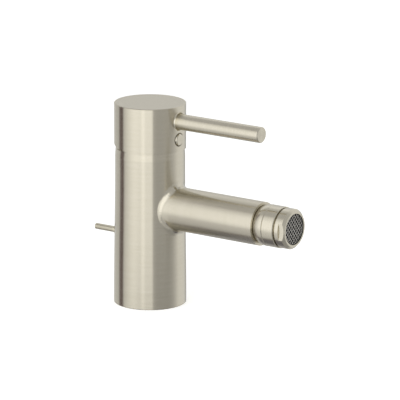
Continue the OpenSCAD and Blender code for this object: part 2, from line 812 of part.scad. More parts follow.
// Outlet nut with a narrow collar, two spanner flats and a bevelled front
module outlet_nut() {
    r = outlet_nut_d / 2;
    l = outlet_nut_l;
    color(nickel) along_spout(nut_y) difference() {
        rotate_extrude()
            polygon([[0, 0], [r - hairline_w, 0], [r, hairline_w], [r, l - outlet_bevel],
                     [r - outlet_bevel, l], [0, l]]);
        for (side = [0, 180]) rotate([0, 0, side - flat_turn])
            translate([flat_across / 2, -r, l - flat_l]) cube([r, 2 * r, flat_l + 1]);
        translate([0, 0, -1]) cylinder(h = l - lip_t + 1, r = nose_r + snug);
        cylinder(h = l + 1, r = opening_r);
    }
}

// Insert that mixes air into the water, with its ring of small holes
module aerator_insert() {
    start = insert_y + washer_t;
    length = screen_y - start;
    color(nylon) along_spout(start) difference() {
        cylinder(h = length, r = insert_r - snug);
        translate([0, 0, 1.6]) cylinder(h = length, r = insert_r - 1.2);
        for (a = [0 : 30 : 330]) rotate([0, 0, a])
            translate([insert_r - 3, 0, -1]) cylinder(h = 4, d = 1, $fn = 16);
    }
}

// Flat screen of the outlet, a diagonal net in a rim
module aerator_screen() {
    rim = opening_r - 0.4;
    count = floor(rim / screen_pitch);
    gap = screen_pitch - screen_wire;
    reach = rim - gap * 0.71;
    color(steel) along_spout(screen_y) linear_extrude(screen_t) difference() {
        circle(r = nose_r - snug);
        rotate(45) for (i = [-count : count]) for (j = [-count : count])
            if (norm([i, j]) * screen_pitch < reach)
                translate([i, j] * screen_pitch) square(gap, center = true);
    }
}

// Rubber washer between the sleeve and the insert
module outlet_washer() {
    color(rubber) along_spout(insert_y) difference() {
        cylinder(h = washer_t, r = insert_r - snug);
        translate([0, 0, -1]) cylinder(h = washer_t + 2, r = insert_r - 2);
    }
}

// Sleeve that guides the pull rod through the body
module rod_guide() {
    color(nylon) along_rod(guide_start) difference() {
        cylinder(h = guide_l, r = guide_r - snug);
        translate([0, 0, -1]) cylinder(h = guide_l + 2, r = rod_r + run);
    }
}

// Pull rod: slanted through the body, then bent to the level behind it
module pull_rod() {
    level_y = rod_meet_y + bend_run;
    color(nickel_dark) union() {
        along_rod(rod_start) cylinder(h = rod_length - rod_start + lap, r = rod_r, $fn = small_fn);
        translate([0, level_y, rod_z - rod_bend]) rotate([0, -90, 180])
            rotate_extrude(angle = bend_turn, $fn = small_fn)
                translate([rod_bend, 0]) circle(r = rod_r + hair);
        translate([0, level_y - lap, rod_z]) rotate([-90, 0, 0])
            cylinder(h = rod_reach - level_y + lap, r = rod_r, $fn = small_fn);
    }
}

mixer_body();
neck_ring();
base_seal();
cartridge_base();
port_seals();
cartridge_housing();
fixed_ceramic_disc();
cartridge_nut();
temperature_limit_ring();
stem_holder();
tilt_pin();
stem();
moving_ceramic_disc();
disc_carrier();
handle_cap();
lever();
grub_screw();
index_plug();
swivel_ball();
ball_seal();
front_liner();
rear_liner();
swivel_collar();
swivel_sleeve();
outlet_nut();
aerator_insert();
aerator_screen();
outlet_washer();
rod_guide();
pull_rod();
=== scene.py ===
"""Dresses the bidet mixer: brushed nickel outside, its cartridge and ball joint inside.

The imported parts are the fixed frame. Lengths are in metres, +Z is up, the spout and the lever point along -Y,
and the deck is the level z = 0.
"""

import logging
import math
from dataclasses import dataclass, field
from enum import Enum

import bmesh
import bpy
from mathutils import Matrix, Vector


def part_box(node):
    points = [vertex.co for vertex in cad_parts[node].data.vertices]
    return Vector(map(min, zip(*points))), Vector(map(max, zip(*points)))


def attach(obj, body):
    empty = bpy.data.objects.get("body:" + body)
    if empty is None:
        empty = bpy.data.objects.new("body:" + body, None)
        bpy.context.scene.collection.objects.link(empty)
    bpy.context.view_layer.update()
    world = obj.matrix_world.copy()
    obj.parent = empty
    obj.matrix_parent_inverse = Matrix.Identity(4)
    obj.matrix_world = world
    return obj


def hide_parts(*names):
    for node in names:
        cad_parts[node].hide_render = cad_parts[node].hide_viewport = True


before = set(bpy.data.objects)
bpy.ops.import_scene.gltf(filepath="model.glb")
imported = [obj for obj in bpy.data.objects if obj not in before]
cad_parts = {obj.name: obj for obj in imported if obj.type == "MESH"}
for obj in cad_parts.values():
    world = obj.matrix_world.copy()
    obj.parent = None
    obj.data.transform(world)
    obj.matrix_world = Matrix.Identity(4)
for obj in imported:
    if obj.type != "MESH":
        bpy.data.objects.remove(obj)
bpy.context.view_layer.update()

MM = 0.001
# Noise seldom leaves these ranges, so they are stretched over the whole of a tone or a roughness.
NOISE_RANGE = (0.3, 0.7)
WIDE_NOISE_RANGE = (0.25, 0.75)
# Turns the blur of brushed metal from along its lines to across them.
QUARTER_TURN = 0.25
# A card of the studio with these edges covers every angle.
ALL_ROUND = (-400.0, 400.0)

Socket = bpy.types.NodeSocket
Node = bpy.types.Node
Tree = bpy.types.NodeTree
Material = bpy.types.Material
Pair = tuple[float, float]
Triple = tuple[float, float, float]
Colour = tuple[float, float, float, float]
Value = Socket | Material | float | Triple | Colour
Inputs = dict[str, Value] | tuple[Value, ...]

log = logging.getLogger("bidet_mixer")


class Axis(Enum):
    """Direction of the axis about which a piece was turned."""

    UP = (0.0, 0.0, 1.0)
    FRONT = (0.0, -1.0, 0.0)


def srgb(code: str) -> Colour:
    """Turn an sRGB hex value into linear colour.

    Args:
        code: A value such as "#D0CBB7".

    Returns:
        Linear red, green and blue, and an alpha of 1.
    """
    channels = [int(code[i:i + 2], 16) / 255 for i in (1, 3, 5)]
    linear = [c / 12.92 if c <= 0.04045 else ((c + 0.055) / 1.055) ** 2.4 for c in channels]
    return (*linear, 1.0)


def add_node(tree: Tree, kind: str, inputs: Inputs = (), **settings: str) -> Node:
    """Add one node with its settings, values and links.

    Args:
        tree: The tree that gets the node.
        kind: The node's type.
        inputs: Values or output sockets, by the input's name or in the inputs' order.
        settings: Attributes of the node.

    Returns:
        The new node.
    """
    node = tree.nodes.new(kind)
    for name, value in settings.items():
        setattr(node, name, value)
    for key, value in inputs.items() if isinstance(inputs, dict) else enumerate(inputs):
        if isinstance(value, Socket):
            tree.links.new(value, node.inputs[key])
        else:
            node.inputs[key].default_value = value
    return node


@dataclass(frozen=True)
class Brushing:
    """Fine lines that an abrasive belt leaves round a piece while it turns.

    Real lines are a few hundredths of a millimetre apart. They are drawn coarser, so that they show.

    Attributes:
        axis: Direction of the axis.
        centre: A point on the axis.
        spacing: Distance between lines.
        run: Length over which a line keeps its tone.
        detail: How often the lines split into finer ones.
    """

    axis: Axis
    centre: Triple = (0.0, 0.0, 0.0)
    spacing: float = 0.5 * MM
    run: float = 14 * MM
    detail: float = 2.0

    def around(self, tree: Tree, point: Socket) -> Socket:
        """Vector that runs round the axis, as long as the distance from it."""
        arm = add_node(tree, "ShaderNodeVectorMath", (point, self.centre), operation="SUBTRACT").outputs[0]
        return add_node(
            tree, "ShaderNodeVectorMath", (self.axis.value, arm), operation="CROSS_PRODUCT").outputs[0]

    def reach(self, tree: Tree, point: Socket) -> Socket:
        """Distance from the axis."""
        around = self.around(tree, point)
        return add_node(tree, "ShaderNodeVectorMath", (around,), operation="LENGTH").outputs["Value"]

    def tone(self, tree: Tree, point: Socket) -> Socket:
        """Tone of the lines at a point.

        Args:
            tree: The material's tree.
            point: The object coordinates.

        Returns:
            A number from 0 to 1.
        """
        x, y, z = add_node(tree, "ShaderNodeSeparateXYZ", (point,)).outputs
        across = y if self.axis is Axis.UP else z
        level = add_node(tree, "ShaderNodeVectorMath", (point, self.axis.value), operation="DOT_PRODUCT")
        place = (x, level.outputs["Value"], self.reach(tree, point))
        place = add_node(tree, "ShaderNodeCombineXYZ", place).outputs[0]
        steps = (self.run, self.spacing, self.spacing)
        noise = add_node(tree, "ShaderNodeTexNoise", {
            "Vector": add_node(tree, "ShaderNodeVectorMath", (place, steps), operation="DIVIDE").outputs[0],
            "W": add_node(tree, "ShaderNodeMath", (across, self.run), operation="DIVIDE").outputs[0],
            "Scale": 1.0,
            "Detail": self.detail,
        }, noise_dimensions="4D")
        return noise.outputs[0]


@dataclass(frozen=True)
class HandWork:
    """Place that no belt reaches, smoothed by hand, so that light gathers there in small bright spots.

    Attributes:
        near: Distance from the column's axis at which it begins.
        far: Distance at which it ends.
        smooth: Share of the roughness that is left there.
        branch: Brushing of a part that branches off there, if any.
        reach: Distance from the branch's axis up to which the place extends.
        near_soft: Half the width of its soft beginning.
        far_soft: Half the width of its soft end.
    """

    near: float
    far: float
    smooth: float
    branch: Brushing | None = None
    reach: float = 0.0
    near_soft: float = 0.15 * MM
    far_soft: float = 1.2 * MM

    def left(self, tree: Tree, point: Socket) -> Socket:
        """Share of the roughness that is left at a point.

        Args:
            tree: The material's tree.
            point: The object coordinates.

        Returns:
            A number up to 1.
        """
        away = Brushing(Axis.UP).reach(tree, point)
        edges = [
            (away, self.near - self.near_soft, self.near + self.near_soft, 0.0, 1.0),
            (away, self.far - self.far_soft, self.far + self.far_soft, 1.0, 0.0),
        ]
        if self.branch:
            edges.append((self.branch.reach(tree, point), self.reach - self.far_soft, self.reach, 1.0, 0.0))
        share: Value = 1.0
        for edge in edges:
            inside = add_node(tree, "ShaderNodeMapRange", edge, interpolation_type="SMOOTHSTEP").outputs[0]
            share = add_node(tree, "ShaderNodeMath", (share, inside), operation="MULTIPLY").outputs[0]
        left = {"Factor": share, "A": 1.0, "B": self.smooth}
        return add_node(tree, "ShaderNodeMix", left).outputs["Result"]


@dataclass(frozen=True)
class Finish:
    """Base of every finish: a principled shader fed by the piece's own coordinates.

    Attributes:
        name: Name of the material.
    """

    name: str

    def start(self) -> tuple[Material, Tree, Socket]:
        """Make an empty material.

        Returns:
            The material, its tree and the object coordinates.
        """
        material = bpy.data.materials.new(self.name)
        material.use_nodes = True
        tree = material.node_tree
        tree.nodes.clear()
        return material, tree, add_node(tree, "ShaderNodeTexCoord").outputs["Object"]

    def end(self, tree: Tree, inputs: dict[str, Value]) -> None:
        """Close the tree with its shader.

        Args:
            tree: The material's tree.
            inputs: Inputs of the shader.
        """
        shader = add_node(tree, "ShaderNodeBsdfPrincipled", inputs).outputs[0]
        add_node(tree, "ShaderNodeOutputMaterial", {"Surface": shader})


@dataclass(frozen=True)
class BrushedNickel(Finish):
    """Nickel plate on brass, brushed round its axis: light blurs along the axis and stays sharp round it.

    Attributes:
        lines: Brushing of the main part.
        branch: Brushing of a part that branches off, if any.
        branch_start: Distance from the main axis at which the branch's own lines begin.
        branch_soft: Half the width over which they take over.
        light: Colour of the ridges.
        dark: Colour of the furrows.
        roughness: Roughness of furrows and ridges.
        depth: Depth of the lines.
        stretch: How much more the light blurs along the axis than round it.
        lapped_above: Level above which the piece was lapped flat, if any, so that its light lies evenly.
        lapped_along: Direction in which it was lapped.
        hand: Place that was smoothed by hand, if any.
    """

    lines: Brushing = Brushing(Axis.UP)
    branch: Brushing | None = None
    branch_start: float = 0.0
    branch_soft: float = 1 * MM
    light: str = "#D3CDBD"
    dark: str = "#CEC8B7"
    roughness: Pair = (0.23, 0.26)
    depth: float = 0.001 * MM
    stretch: float = 1.0
    lapped_above: float = 0.0
    lapped_along: Triple = (1.0, 0.0, 0.0)
    hand: HandWork | None = None

    def pattern(self, tree: Tree, point: Socket) -> tuple[Socket, Socket]:
        """Lines of the main part and of the branch.

        Args:
            tree: The material's tree.
            point: The object coordinates.

        Returns:
            Tone of the lines, and a vector along them.
        """
        tone, around = self.lines.tone(tree, point), self.lines.around(tree, point)
        if self.branch:
            low, high = self.branch_start - self.branch_soft, self.branch_start + self.branch_soft
            share = add_node(tree, "ShaderNodeMapRange", (self.lines.reach(tree, point), low, high),
                             interpolation_type="SMOOTHSTEP").outputs[0]
            tone = add_node(tree, "ShaderNodeMix", {
                "Factor": share, "A": tone, "B": self.branch.tone(tree, point)}).outputs["Result"]
            around = add_node(tree, "ShaderNodeMix", {
                "Factor": share, "A": around, "B": self.branch.around(tree, point),
            }, data_type="VECTOR").outputs["Result"]
        if self.lapped_above:
            levels = (add_node(tree, "ShaderNodeSeparateXYZ", (point,)).outputs["Z"], self.lapped_above)
            lapped = add_node(tree, "ShaderNodeMath", levels, operation="GREATER_THAN").outputs[0]
            around = add_node(tree, "ShaderNodeMix", {
                "Factor": lapped, "A": around, "B": self.lapped_along}, data_type="VECTOR").outputs["Result"]
        return tone, around

    def material(self) -> Material:
        """Build the material.

        Returns:
            The material.
        """
        material, tree, point = self.start()
        tone, around = self.pattern(tree, point)
        rough = add_node(tree, "ShaderNodeMapRange", (tone, *WIDE_NOISE_RANGE, *self.roughness),
                         interpolation_type="SMOOTHSTEP").outputs[0]
        if self.hand:
            left = self.hand.left(tree, point)
            rough = add_node(tree, "ShaderNodeMath", (rough, left), operation="MULTIPLY").outputs[0]
        ridge = add_node(tree, "ShaderNodeMapRange", (tone, *NOISE_RANGE),
                         interpolation_type="SMOOTHSTEP").outputs[0]
        self.end(tree, {
            "Base Color": add_node(tree, "ShaderNodeMix", {
                "Factor": ridge, "A": srgb(self.dark), "B": srgb(self.light),
            }, data_type="RGBA").outputs["Result"],
            "Roughness": rough,
            "Normal": add_node(tree, "ShaderNodeBump", {
                "Height": tone, "Distance": self.depth, "Strength": 1.0}).outputs[0],
            "Tangent": add_node(tree, "ShaderNodeVectorTransform", (around,), vector_type="VECTOR",
                                convert_from="OBJECT", convert_to="WORLD").outputs[0],
            "Metallic": 1.0,
            "Anisotropic": self.stretch,
            "Anisotropic Rotation": QUARTER_TURN,
        })
        return material


@dataclass(frozen=True)
class Grained(Finish):
    """A moulded, machined, drawn or fired material with a fine grain.

    Real grain is less than a tenth of a millimetre wide. It is drawn coarser, so that it shows.

    Attributes:
        light: Colour of the high spots.
        dark: Colour of the low spots.
        roughness: Roughness at the two ends of the grain.
        grain: Size of the grain along X, Y and Z.
        metallic: Whether it is a metal.
        ior: Refractive index of what isn't a metal.
        depth: Depth of the grain.
        relief: How strongly that depth shows.
        detail: How often the grain splits into a finer one.
    """

    light: str
    dark: str
    roughness: Pair
    grain: Triple = (0.4 * MM, 0.4 * MM, 0.4 * MM)
    metallic: bool = False
    ior: float = 1.5
    depth: float = 0.01 * MM
    relief: float = 0.5
    detail: float = 4.0

    def material(self) -> Material:
        """Build the material.

        Returns:
            The material.
        """
        material, tree, point = self.start()
        place = add_node(tree, "ShaderNodeVectorMath", (point, self.grain), operation="DIVIDE").outputs[0]
        noise = add_node(tree, "ShaderNodeTexNoise", {
            "Vector": place, "Scale": 1.0, "Detail": self.detail}).outputs[0]
        high = add_node(tree, "ShaderNodeMapRange", (noise, *NOISE_RANGE),
                        interpolation_type="SMOOTHSTEP").outputs[0]
        inputs = {
            "Base Color": add_node(tree, "ShaderNodeMix", {
                "Factor": high, "A": srgb(self.dark), "B": srgb(self.light),
            }, data_type="RGBA").outputs["Result"],
            "Roughness": add_node(tree, "ShaderNodeMapRange", (noise, *NOISE_RANGE, *self.roughness),
                                  interpolation_type="SMOOTHSTEP").outputs[0],
            "Normal": add_node(tree, "ShaderNodeBump", {
                "Height": noise, "Distance": self.depth, "Strength": self.relief}).outputs[0],
        }
        self.end(tree, inputs | ({"Metallic": 1.0} if self.metallic else {"IOR": self.ior}))
        return material


@dataclass(frozen=True)
class Card:
    """A window, wall or flag of the studio, as the mixer sees it.

    A card that covers the ground or the ceiling reaches past the vertical, so only its free edge is soft.

    Attributes:
        name: What it is; a label that the code does not use.
        bearing: Where its left and right edges stand, in degrees to the right of the camera.
        height: Where its lower and upper edges stand, in degrees above the horizon.
        level: Its brightness, where 1 is white.
        soft: Width of its soft edges, sideways and upward, in degrees.
        tint: Its colour.
    """

    name: str
    bearing: Pair
    height: Pair
    level: float
    soft: Pair
    tint: str = "#FFFFFF"

    def colour(self) -> Colour:
        """Linear colour of its light."""
        return (*(self.level * c for c in srgb(self.tint)[:3]), 1.0)

    def mask(self, tree: Tree, bearing: Socket, height: Socket) -> Socket:
        """How much of a direction the card covers.

        Args:
            tree: The tree that gets the nodes.
            bearing: Bearing of the direction.
            height: Height of the direction.

        Returns:
            A number from 0 to 1.
        """
        sides = []
        for value, (low, high), soft in zip((bearing, height), (self.bearing, self.height), self.soft):
            half = (high - low) / 2
            for operation, *others in (("SUBTRACT", low + half), ("WRAP", 180.0, -180.0), ("ABSOLUTE",)):
                value = add_node(tree, "ShaderNodeMath", (value, *others), operation=operation).outputs[0]
            edge = (value, half - soft / 2, half + soft / 2, 1.0, 0.0)
            side = add_node(tree, "ShaderNodeMapRange", edge, interpolation_type="SMOOTHSTEP")
            sides.append(side.outputs[0])
        return add_node(tree, "ShaderNodeMath", tuple(sides), operation="MULTIPLY").outputs[0]


@dataclass
class Studio:
    """Plain studio: a pale floor, a white background, soft cards round the mixer and a long lens.

    Attributes:
        azimuth: Azimuth of the camera.
        elevation: Height of the camera above the horizon.
        distance: Distance from the camera to the point that it is set out from.
        target: That point, on the axis of the column. The cards stand round it too.
        target_px: Where that point lies in the picture.
        focal_px: Focal length in pixels.
        frame_px: Side of the frame in pixels.
        sensor: Width of the sensor in millimetres.
        sight: How far the camera sees.
        wall: Light of the plain walls.
        cards: What stands in front of the walls, from the back to the front.
        room_r: Radius of the room that carries them. It is so small that the parts near a card gain from it.
        floor_r: Radius of the floor.
        floor_glow: Light that the floor gains as the camera sees it, to be as white as the background.
        corners: Corners of the round floor and room.
    """

    azimuth: float = -53.65
    elevation: float = 14.13
    distance: float = 2.6
    target: Vector = field(default_factory=lambda: Vector((0, 0, 0.067)))
    target_px: Pair = (150.11, 202.01)
    focal_px: float = 3971.1
    frame_px: float = 400.0
    sensor: float = 36.0
    sight: float = 50.0
    wall: Colour = (0.80, 0.80, 0.80, 1.0)
    cards: tuple[Card, ...] = (
        Card("right wall", (96, 134), ALL_ROUND, 0.88, (24, 1)),
        Card("wall above the mixer", (-200, -142), (34, 58), 0.98, (14, 10)),
        Card("dim wall behind", (158, 200), (0, 24), 0.68, (30, 10)),
        Card("curtain behind", (146, 190), (-60, 0), 0.48, (14, 16)),
        Card("ceiling", ALL_ROUND, (53, 127), 0.55, (1, 8)),
        Card("wall under the window", (-110, 8), (-90, -20), 0.84, (5, 20)),
        Card("table", ALL_ROUND, (-134, -46), 0.56, (1, 36)),
        Card("dark floor", ALL_ROUND, (-122, -58), 0.14, (1, 16), "#F3EDFF"),
        Card("grey flag", (6, 84), (-60, 60), 0.56, (40, 20)),
        Card("foot of the grey flag", (6, 84), (-90, -14), 0.37, (40, 14)),
        Card("wide window", (-100, 8), (-18, 43), 1.46, (6, 36)),
        Card("dim side of the window", (-154, -76), (-30, 44), 0.62, (70, 30)),
        Card("dark chest under the window", (-46, 10), (-90, -20), 0.55, (30, 8)),
        Card("tube in the window", (-28, -17), (-20, 40), 1.60, (8, 8)),
        Card("narrow black flag", (-115, -94.5), (-60, 48), 0.16, (6, 12), "#FFE6EA"),
    )
    room_r: float = 0.6
    floor_r: float = 1.6
    floor_glow: float = 0.5
    corners: int = 96

    def toward_camera(self) -> Vector:
        """Unit vector from the mixer to the camera."""
        turn, rise = math.radians(self.azimuth), math.radians(self.elevation)
        return Vector((math.sin(turn) * math.cos(rise), -math.cos(turn) * math.cos(rise), math.sin(rise)))

    def add_camera(self) -> bpy.types.Object:
        """Set the camera so that the target falls where the photograph has it, without lens shift.

        Returns:
            The camera.
        """
        back = self.toward_camera()
        turn = math.radians(self.azimuth)
        right = Vector((math.cos(turn), math.sin(turn), 0))
        up = back.cross(right)
        centre_px = self.frame_px / 2
        off_right, off_up = centre_px - self.target_px[0], self.target_px[1] - centre_px
        sight = (-back * self.focal_px + right * off_right + up * off_up).normalized()
        side = sight.cross(up).normalized()
        top = side.cross(sight)
        lens = bpy.data.cameras.new("camera")
        lens.sensor_width = self.sensor
        lens.lens = self.focal_px / self.frame_px * self.sensor
        lens.clip_end = self.sight
        camera = bpy.data.objects.new("camera", lens)
        stand = Matrix.Translation(self.target + back * self.distance)
        camera.matrix_world = stand @ Matrix((side, top, -sight)).transposed().to_4x4()
        bpy.context.scene.collection.objects.link(camera)
        bpy.context.scene.camera = camera
        return camera

    def light(self, tree: Tree, way: Socket) -> Socket:
        """Light that the walls and cards send from a direction.

        Args:
            tree: The tree that gets the nodes.
            way: The direction.

        Returns:
            Its colour.
        """
        camera_way = self.toward_camera()
        camera_angle = math.degrees(math.atan2(camera_way.y, camera_way.x))
        x, y, z = add_node(tree, "ShaderNodeSeparateXYZ", (way,)).outputs
        bearing = add_node(tree, "ShaderNodeMath", (y, x), operation="ARCTAN2").outputs[0]
        bearing = add_node(tree, "ShaderNodeMath", (bearing,), operation="DEGREES").outputs[0]
        bearing = add_node(tree, "ShaderNodeMath", (bearing, camera_angle), operation="SUBTRACT").outputs[0]
        height = add_node(tree, "ShaderNodeMath", (z,), operation="ARCSINE").outputs[0]
        height = add_node(tree, "ShaderNodeMath", (height,), operation="DEGREES").outputs[0]
        colour: Value = self.wall
        for card in self.cards:
            colour = add_node(tree, "ShaderNodeMix", {
                "Factor": card.mask(tree, bearing, height), "A": colour, "B": card.colour(),
            }, data_type="RGBA").outputs["Result"]
        return colour

    def add_world(self) -> None:
        """Light what lies outside the room, while the camera sees a white background."""
        world = bpy.data.worlds.new("studio")
        world.use_nodes = True
        tree = world.node_tree
        tree.nodes.clear()
        colour = self.light(tree, add_node(tree, "ShaderNodeTexCoord").outputs["Generated"])
        seen = add_node(tree, "ShaderNodeLightPath").outputs["Is Camera Ray"]
        colour = add_node(tree, "ShaderNodeMix", {
            "Factor": seen, "A": colour, "B": srgb("#FFFFFF")}, data_type="RGBA").outputs["Result"]
        light = add_node(tree, "ShaderNodeBackground", {"Color": colour, "Strength": 1.0}).outputs[0]
        add_node(tree, "ShaderNodeOutputWorld", {"Surface": light})
        bpy.context.scene.world = world

    def add_stage(self, name: str, shape: bmesh.types.BMesh, look: str) -> tuple[bpy.types.Object, Tree]:
        """Turn a shape into a piece of the studio with an empty material.

        Args:
            name: Name of the piece.
            shape: Its shape.
            look: Name of its material.

        Returns:
            The piece and the tree of its material.
        """
        mesh = bpy.data.meshes.new(name)
        shape.to_mesh(mesh)
        shape.free()
        material = bpy.data.materials.new(look)
        material.use_nodes = True
        material.node_tree.nodes.clear()
        mesh.materials.append(material)
        piece = bpy.data.objects.new(name, mesh)
        bpy.context.scene.collection.objects.link(piece)
        return piece, material.node_tree

    def add_room(self) -> bpy.types.Object:
        """Stand the cards on a round room that the camera looks through.

        Returns:
            The room.
        """
        shape = bmesh.new()
        bmesh.ops.create_uvsphere(
            shape, u_segments=self.corners, v_segments=self.corners // 2, radius=self.room_r)
        bmesh.ops.translate(shape, verts=shape.verts, vec=self.target)
        room, tree = self.add_stage("room", shape, "lit_studio_cards")
        room.visible_camera = False
        ends = (add_node(tree, "ShaderNodeTexCoord").outputs["Object"], tuple(self.target))
        way = add_node(tree, "ShaderNodeVectorMath", ends, operation="SUBTRACT").outputs[0]
        way = add_node(tree, "ShaderNodeVectorMath", (way,), operation="NORMALIZE").outputs[0]
        glow = add_node(tree, "ShaderNodeEmission", (self.light(tree, way), 1.0)).outputs[0]
        add_node(tree, "ShaderNodeOutputMaterial", {"Surface": glow})
        room.active_material.cycles.emission_sampling = "NONE"
        return room

    def add_floor(self) -> bpy.types.Object:
        """Lay a pale floor that keeps the mixer's shadow.

        Returns:
            The floor.
        """
        shape = bmesh.new()
        bmesh.ops.create_circle(shape, cap_ends=True, segments=self.corners, radius=self.floor_r)
        floor, tree = self.add_stage("floor", shape, "pale_floor_paint")
        # The metal shows the card of the table instead.
        floor.visible_glossy = False
        # Paint that was rolled on matt: an even pale ground without a reflection.
        paint = add_node(tree, "ShaderNodeBsdfDiffuse", {"Color": srgb("#F4F4F2")}).outputs[0]
        glow = add_node(tree, "ShaderNodeEmission", {"Strength": self.floor_glow}).outputs[0]
        seen = add_node(tree, "ShaderNodeLightPath").outputs["Is Camera Ray"]
        lit = add_node(tree, "ShaderNodeAddShader", (paint, glow)).outputs[0]
        mixed = add_node(tree, "ShaderNodeMixShader", (seen, paint, lit)).outputs[0]
        add_node(tree, "ShaderNodeOutputMaterial", {"Surface": mixed})
        return floor

    def build(self) -> None:
        """Build the camera, the light and the floor."""
        bpy.context.scene.view_settings.view_transform = "Standard"
        self.add_camera()
        self.add_world()
        self.add_room()
        self.add_floor()
        log.info("studio: camera, %d cards and floor", len(self.cards))


def middle(node: str) -> Triple:
    """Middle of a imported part's box."""
    low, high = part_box(node)
    return tuple((low + high) / 2)


def dress(finish: Material, *nodes: str) -> None:
    """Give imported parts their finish.

    Args:
        finish: The material.
        nodes: Names of the parts.
    """
    for node in nodes:
        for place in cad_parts[node].material_slots:
            place.material = finish
        log.info("%s: %s", node, finish.name)


@dataclass
class Finishes:
    """Finishes that several sub-assemblies share, each built once.

    Attributes:
        lapped_deep: Distance below the top of the cap down to which its lapped face is dressed.
        nickel: Brushed nickel of the cap and of the ring under it.
        brass: Machined brass.
        steel: Turned steel.
        nylon: Moulded nylon.
        rubber: Nitrile rubber.
    """

    lapped_deep: float = 0.2 * MM
    nickel: Material = field(init=False)
    brass: Material = field(init=False)
    steel: Material = field(init=False)
    nylon: Material = field(init=False)
    rubber: Material = field(init=False)

    def __post_init__(self) -> None:
        """Build the materials."""
        # Nickel plate brushed with a belt while the cap turns, so that light lies on it in upright bands with
        # blurred ends. The top is lapped flat in one direction and shows one even tone.
        lapped_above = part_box("handle_cap")[1].z - self.lapped_deep
        self.nickel = BrushedNickel("brushed_nickel_cap", lapped_above=lapped_above).material()
        # Brass turned on a lathe and left bare: a warm yellow with a soft shine.
        self.brass = Grained(
            "machined_brass", "#D9B76A", "#C29F55", roughness=(0.2, 0.32), metallic=True).material()
        # Screws and pins turned from stainless bar: a cool grey that is a little brighter on its ridges.
        self.steel = Grained(
            "turned_steel", "#C9CBCC", "#AEB1B3", roughness=(0.22, 0.34), metallic=True).material()
        # Nylon from a satin mould: off-white, with light that spreads wide and dull.
        self.nylon = Grained(
            "moulded_nylon", "#DDD8CA", "#CFC9B8", roughness=(0.4, 0.55), ior=1.53).material()
        # Rubber pressed in a matt mould: a brownish black with hardly any shine.
        self.rubber = Grained(
            "nitrile_rubber", "#2C2A28", "#1E1D1B", roughness=(0.6, 0.8), ior=1.52).material()


@dataclass
class NodeShape:
    """A shape that a tree of geometry nodes makes, baked to a plain mesh.

    Attributes:
        name: Name of the piece.
        sizes: Named inputs of the tree, with their values.
        tree: The tree.
        inputs: Sockets of the named inputs.
    """

    name: str
    sizes: dict[str, float]
    tree: Tree = field(init=False)
    inputs: dict[str, Socket] = field(init=False)

    def __post_init__(self) -> None:
        """Make the tree with its named inputs."""
        self.tree = bpy.data.node_groups.new(self.name, "GeometryNodeTree")
        for size, value in self.sizes.items():
            kind = "NodeSocketInt" if isinstance(value, int) else "NodeSocketFloat"
            self.tree.interface.new_socket(size, in_out="INPUT", socket_type=kind)
        self.tree.interface.new_socket("Geometry", in_out="OUTPUT", socket_type="NodeSocketGeometry")
        group = add_node(self.tree, "NodeGroupInput")
        self.inputs = {size: group.outputs[size] for size in self.sizes}

    def join(self, *parts: Socket) -> Socket:
        """Join parts to one shape.

        Args:
            parts: Sockets that carry the parts.

        Returns:
            Socket that carries the whole.
        """
        joined = add_node(self.tree, "GeometryNodeJoinGeometry")
        for part in parts:
            self.tree.links.new(part, joined.inputs[0])
        return joined.outputs[0]

    def stand(self, shape: Socket, place: Triple) -> Socket:
        """Stand a shape that lies in the plane z = 0 upright, facing the front.

        Args:
            shape: Socket that carries the shape.
            place: Where its middle goes.

        Returns:
            Socket that carries the upright shape.
        """
        return add_node(self.tree, "GeometryNodeTransform", {
            "Geometry": shape, "Translation": place, "Rotation": (math.pi / 2, 0, 0)}).outputs[0]

    def bake(self, shape: Socket, finish: Material) -> bpy.types.Object:
        """End the tree, run it and keep its result as a plain mesh.

        Args:
            shape: Socket that carries the shape.
            finish: Material of the piece.

        Returns:
            The piece, at the origin.
        """
        real = add_node(self.tree, "GeometryNodeRealizeInstances", (shape,)).outputs[0]
        dressed = add_node(self.tree, "GeometryNodeSetMaterial", {
            "Geometry": real, "Material": finish}).outputs[0]
        add_node(self.tree, "NodeGroupOutput", (dressed,))
        piece = bpy.data.objects.new(self.name, bpy.data.meshes.new(self.name))
        bpy.context.scene.collection.objects.link(piece)
        modifier = piece.modifiers.new("shape", "NODES")
        modifier.node_group = self.tree
        for item in self.tree.interface.items_tree:
            if item.in_out == "INPUT":
                modifier[item.identifier] = self.sizes[item.name]
        graph = bpy.context.evaluated_depsgraph_get()
        mesh = bpy.data.meshes.new_from_object(piece.evaluated_get(graph))
        piece.modifiers.clear()
        piece.data = mesh
        return piece


@dataclass
class Column:
    """Body in one casting, the ring at its neck, its foot seal and the guide of the rod.

    Attributes:
        spout_from: Distance from the column's axis at which the lines round the spout begin.
        root_from: Distance from the column's axis at which the rolled root of the spout begins.
        root_to: Distance at which it ends.
        root_r: Distance from the spout's axis up to which it extends.
        root_smooth: Share of the brushed roughness that is left on it.
    """

    spout_from: float = 25.5 * MM
    root_from: float = 23.6 * MM
    root_to: float = 28 * MM
    root_r: float = 22 * MM
    root_smooth: float = 0.5

    def casting_finish(self) -> Material:
        """Finish of the body.

        Returns:
            The material.
        """
        # Nickel plate brushed with a belt, first round the column and then round the spout: upright bands of
        # light on the one and level ones on the other. The root between them is rubbed by hand and gleams.
        spout = Brushing(Axis.FRONT, middle("outlet_nut"))
        root = HandWork(self.root_from, self.root_to, self.root_smooth, spout, self.root_r)
        return BrushedNickel(
            "brushed_nickel_body", branch=spout, branch_start=self.spout_from, hand=root).material()

    def build(self, finishes: Finishes) -> None:
        """Dress the column.

        Args:
            finishes: The shared finishes.
        """
        dress(self.casting_finish(), "mixer_body")
        dress(finishes.nickel, "neck_ring")
        dress(finishes.rubber, "base_seal")
        dress(finishes.nylon, "rod_guide")


